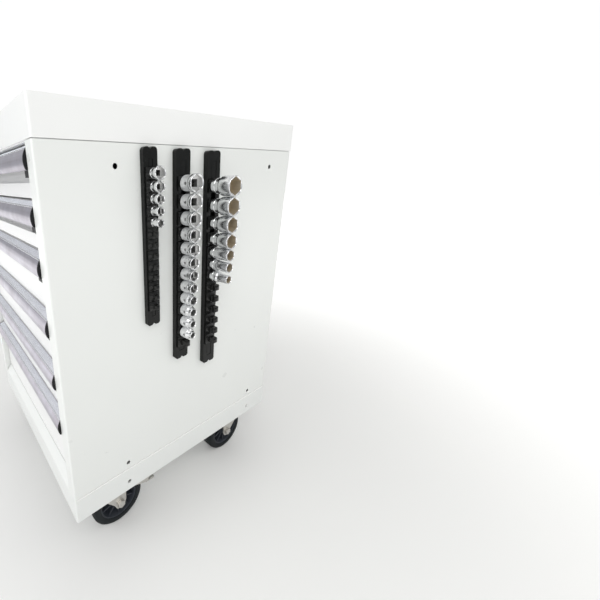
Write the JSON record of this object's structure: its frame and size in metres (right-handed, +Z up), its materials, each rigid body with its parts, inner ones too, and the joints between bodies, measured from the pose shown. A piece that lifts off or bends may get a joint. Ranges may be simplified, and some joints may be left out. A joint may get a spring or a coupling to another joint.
{
  "type": "roller tool cabinet with socket rails",
  "caption": "Wheeled steel drawer cabinet with full-width pull handles and magnetic socket rails carrying chrome sockets on its right side.",
  "frame": {"origin": "on the floor, under the middle of the whole outline", "axes": "+X to the side that carries the socket rails, +Y from the drawer fronts to the back, +Z up"},
  "size_m": [0.5368, 0.464, 0.68],
  "materials": {
    "white_enamel": "satin white powder coat",
    "grey_base_enamel": "satin white powder coat",
    "drawer_enamel": "satin light powder coat",
    "rubber_mat": "matt black, finely ribbed",
    "zinc_steel": "zinc plated",
    "lock_chrome": "polished",
    "handle_black": "satin black",
    "handle_aluminium": "satin anodised",
    "cap_black": "matt black moulding",
    "castor_steel": "zinc plated",
    "castor_rubber": "matt black tyre",
    "rail_black": "black moulding, slight sheen",
    "clip_black": "black moulding, slight sheen",
    "socket_chrome": "bright chrome plate"
  },
  "bodies": {
    "cabinet": {"right_side_panel": "white_enamel", "left_side_panel": "white_enamel", "back_panel": "white_enamel", "top_lid": "white_enamel", "top_mat": "rubber_mat", "base_frame": "grey_base_enamel", "slide_uprights": "zinc_steel", "cabinet_slides": "zinc_steel", "push_handle": "handle_black", "castor_plates": "zinc_steel"},
    "lock": {"lock_plug": "lock_chrome"},
    "drawer_1": {"drawer_1_tray": "drawer_enamel", "drawer_1_handle": "handle_aluminium", "drawer_1_handle_caps": "cap_black", "drawer_1_runners": "zinc_steel"},
    "drawer_1_middle": {"drawer_1_middle_slides": "zinc_steel"},
    "drawer_2": {"drawer_2_tray": "drawer_enamel", "drawer_2_handle": "handle_aluminium", "drawer_2_handle_caps": "cap_black", "drawer_2_runners": "zinc_steel"},
    "drawer_2_middle": {"drawer_2_middle_slides": "zinc_steel"},
    "drawer_3": {"drawer_3_tray": "drawer_enamel", "drawer_3_handle": "handle_aluminium", "drawer_3_handle_caps": "cap_black", "drawer_3_runners": "zinc_steel"},
    "drawer_3_middle": {"drawer_3_middle_slides": "zinc_steel"},
    "drawer_4": {"drawer_4_tray": "drawer_enamel", "drawer_4_handle": "handle_aluminium", "drawer_4_handle_caps": "cap_black", "drawer_4_runners": "zinc_steel"},
    "drawer_4_middle": {"drawer_4_middle_slides": "zinc_steel"},
    "drawer_5": {"drawer_5_tray": "drawer_enamel", "drawer_5_handle": "handle_aluminium", "drawer_5_handle_caps": "cap_black", "drawer_5_runners": "zinc_steel"},
    "drawer_5_middle": {"drawer_5_middle_slides": "zinc_steel"},
    "drawer_6": {"drawer_6_tray": "drawer_enamel", "drawer_6_handle": "handle_aluminium", "drawer_6_handle_caps": "cap_black", "drawer_6_runners": "zinc_steel"},
    "drawer_6_middle": {"drawer_6_middle_slides": "zinc_steel"},
    "castor_front_right": {"castor_front_right_fork": "castor_steel"},
    "wheel_front_right": {"castor_front_right_wheel": "castor_rubber"},
    "brake_front_right": {"castor_front_right_pedal": "castor_steel"},
    "castor_front_left": {"castor_front_left_fork": "castor_steel"},
    "wheel_front_left": {"castor_front_left_wheel": "castor_rubber"},
    "brake_front_left": {"castor_front_left_pedal": "castor_steel"},
    "castor_rear_right": {"castor_rear_right_fork": "castor_steel"},
    "wheel_rear_right": {"castor_rear_right_wheel": "castor_rubber"},
    "castor_rear_left": {"castor_rear_left_fork": "castor_steel"},
    "wheel_rear_left": {"castor_rear_left_wheel": "castor_rubber"},
    "front_rail": {"front_rail": "rail_black", "front_rail_clips": "clip_black"},
    "front_rail_socket_set": {"front_rail_sockets": "socket_chrome"},
    "middle_rail": {"middle_rail": "rail_black", "middle_rail_clips": "clip_black"},
    "middle_rail_socket_set": {"middle_rail_sockets": "socket_chrome"},
    "rear_rail": {"rear_rail": "rail_black", "rear_rail_clips": "clip_black"},
    "rear_rail_socket_set": {"rear_rail_sockets": "socket_chrome"}
  },
  "joints": [
    {"name": "drawer_1_slide", "type": "slide", "parent": "cabinet", "child": "drawer_1", "axis": [0, -1, 0], "range_m": [0, 0.38]},
    {"name": "drawer_1_middle_slide", "type": "slide", "parent": "cabinet", "child": "drawer_1_middle", "axis": [0, -1, 0], "range_m": [0, 0.19]},
    {"name": "drawer_2_slide", "type": "slide", "parent": "cabinet", "child": "drawer_2", "axis": [0, -1, 0], "range_m": [0, 0.38]},
    {"name": "drawer_2_middle_slide", "type": "slide", "parent": "cabinet", "child": "drawer_2_middle", "axis": [0, -1, 0], "range_m": [0, 0.19]},
    {"name": "drawer_3_slide", "type": "slide", "parent": "cabinet", "child": "drawer_3", "axis": [0, -1, 0], "range_m": [0, 0.38]},
    {"name": "drawer_3_middle_slide", "type": "slide", "parent": "cabinet", "child": "drawer_3_middle", "axis": [0, -1, 0], "range_m": [0, 0.19]},
    {"name": "drawer_4_slide", "type": "slide", "parent": "cabinet", "child": "drawer_4", "axis": [0, -1, 0], "range_m": [0, 0.38]},
    {"name": "drawer_4_middle_slide", "type": "slide", "parent": "cabinet", "child": "drawer_4_middle", "axis": [0, -1, 0], "range_m": [0, 0.19]},
    {"name": "drawer_5_slide", "type": "slide", "parent": "cabinet", "child": "drawer_5", "axis": [0, -1, 0], "range_m": [0, 0.38]},
    {"name": "drawer_5_middle_slide", "type": "slide", "parent": "cabinet", "child": "drawer_5_middle", "axis": [0, -1, 0], "range_m": [0, 0.19]},
    {"name": "drawer_6_slide", "type": "slide", "parent": "cabinet", "child": "drawer_6", "axis": [0, -1, 0], "range_m": [0, 0.38]},
    {"name": "drawer_6_middle_slide", "type": "slide", "parent": "cabinet", "child": "drawer_6_middle", "axis": [0, -1, 0], "range_m": [0, 0.19]},
    {"name": "lock_turn", "type": "hinge", "parent": "cabinet", "child": "lock", "pos_m": [-0.15, -0.228, 0.659], "axis": [0, 1, 0], "range_deg": [0, 90]},
    {"name": "castor_front_right_swivel", "type": "hinge", "parent": "cabinet", "child": "castor_front_right", "pos_m": [0.177, -0.1716, 0.11], "axis": [0, 0, 1], "continuous": true},
    {"name": "castor_front_right_roll", "type": "hinge", "parent": "castor_front_right", "child": "wheel_front_right", "pos_m": [0.177, -0.1396, 0.05], "axis": [1, 0, 0], "continuous": true},
    {"name": "castor_front_right_brake", "type": "hinge", "parent": "castor_front_right", "child": "brake_front_right", "pos_m": [0.177, -0.1456, 0.094], "axis": [1, 0, 0], "range_deg": [-6.5, 0]},
    {"name": "castor_front_left_swivel", "type": "hinge", "parent": "cabinet", "child": "castor_front_left", "pos_m": [-0.177, -0.1716, 0.11], "axis": [0, 0, 1], "continuous": true},
    {"name": "castor_front_left_roll", "type": "hinge", "parent": "castor_front_left", "child": "wheel_front_left", "pos_m": [-0.177, -0.1396, 0.05], "axis": [1, 0, 0], "continuous": true},
    {"name": "castor_front_left_brake", "type": "hinge", "parent": "castor_front_left", "child": "brake_front_left", "pos_m": [-0.177, -0.1456, 0.094], "axis": [1, 0, 0], "range_deg": [-6.5, 0]},
    {"name": "castor_rear_right_swivel", "type": "hinge", "parent": "cabinet", "child": "castor_rear_right", "pos_m": [0.177, 0.1756, 0.11], "axis": [0, 0, 1], "continuous": true},
    {"name": "castor_rear_right_roll", "type": "hinge", "parent": "castor_rear_right", "child": "wheel_rear_right", "pos_m": [0.177, 0.1436, 0.05], "axis": [1, 0, 0], "continuous": true},
    {"name": "castor_rear_left_swivel", "type": "hinge", "parent": "cabinet", "child": "castor_rear_left", "pos_m": [-0.177, 0.1756, 0.11], "axis": [0, 0, 1], "continuous": true},
    {"name": "castor_rear_left_roll", "type": "hinge", "parent": "castor_rear_left", "child": "wheel_rear_left", "pos_m": [-0.177, 0.1436, 0.05], "axis": [1, 0, 0], "continuous": true},
    {"name": "front_rail_pull_off", "type": "slide", "parent": "cabinet", "child": "front_rail", "axis": [1, 0, 0], "range_m": [0, 0.1]},
    {"name": "front_rail_sockets_pull_off", "type": "slide", "parent": "front_rail", "child": "front_rail_socket_set", "axis": [1, 0, 0], "range_m": [0, 0.03]},
    {"name": "middle_rail_pull_off", "type": "slide", "parent": "cabinet", "child": "middle_rail", "axis": [1, 0, 0], "range_m": [0, 0.1]},
    {"name": "middle_rail_sockets_pull_off", "type": "slide", "parent": "middle_rail", "child": "middle_rail_socket_set", "axis": [1, 0, 0], "range_m": [0, 0.03]},
    {"name": "rear_rail_pull_off", "type": "slide", "parent": "cabinet", "child": "rear_rail", "axis": [1, 0, 0], "range_m": [0, 0.1]},
    {"name": "rear_rail_sockets_pull_off", "type": "slide", "parent": "rear_rail", "child": "rear_rail_socket_set", "axis": [1, 0, 0], "range_m": [0, 0.03]}
  ],
  "couplings": [
    {"joint": "drawer_1_middle_slide", "follows": "drawer_1_slide", "ratio": 0.5},
    {"joint": "drawer_2_middle_slide", "follows": "drawer_2_slide", "ratio": 0.5},
    {"joint": "drawer_3_middle_slide", "follows": "drawer_3_slide", "ratio": 0.5},
    {"joint": "drawer_4_middle_slide", "follows": "drawer_4_slide", "ratio": 0.5},
    {"joint": "drawer_5_middle_slide", "follows": "drawer_5_slide", "ratio": 0.5},
    {"joint": "drawer_6_middle_slide", "follows": "drawer_6_slide", "ratio": 0.5}
  ]
}
